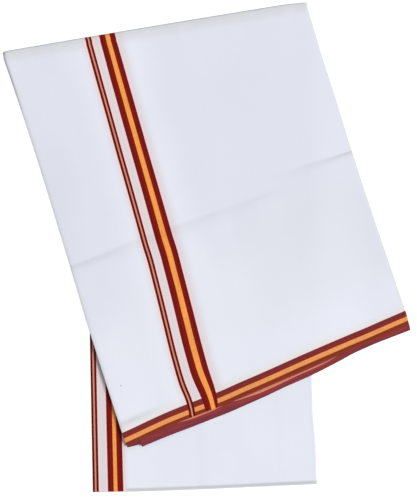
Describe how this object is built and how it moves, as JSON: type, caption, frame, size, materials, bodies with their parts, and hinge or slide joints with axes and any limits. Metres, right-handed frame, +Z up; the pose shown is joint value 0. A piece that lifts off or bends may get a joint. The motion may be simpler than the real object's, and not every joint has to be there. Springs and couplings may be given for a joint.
{
  "type": "folded dhoti cloth",
  "caption": "White cotton dhoti with maroon and orange woven stripes, folded into a flat packet and laid doubled over askew.",
  "frame": {"origin": "on the floor under the middle of the folded cloth's outline", "axes": "+Z up through the folds; +Y in the flat from the hems towards the top fold; +X to the right of that"},
  "size_m": [0.6098, 0.7342, 0.0122],
  "materials": {
    "white_cotton": "matt plain weave",
    "border_cotton": "matt woven stripe"
  },
  "bodies": {
    "root": {"front_panel": "white_cotton", "second_panel": "border_cotton", "back_panel": "white_cotton", "inner_folds": "white_cotton"}
  },
  "joints": []
}
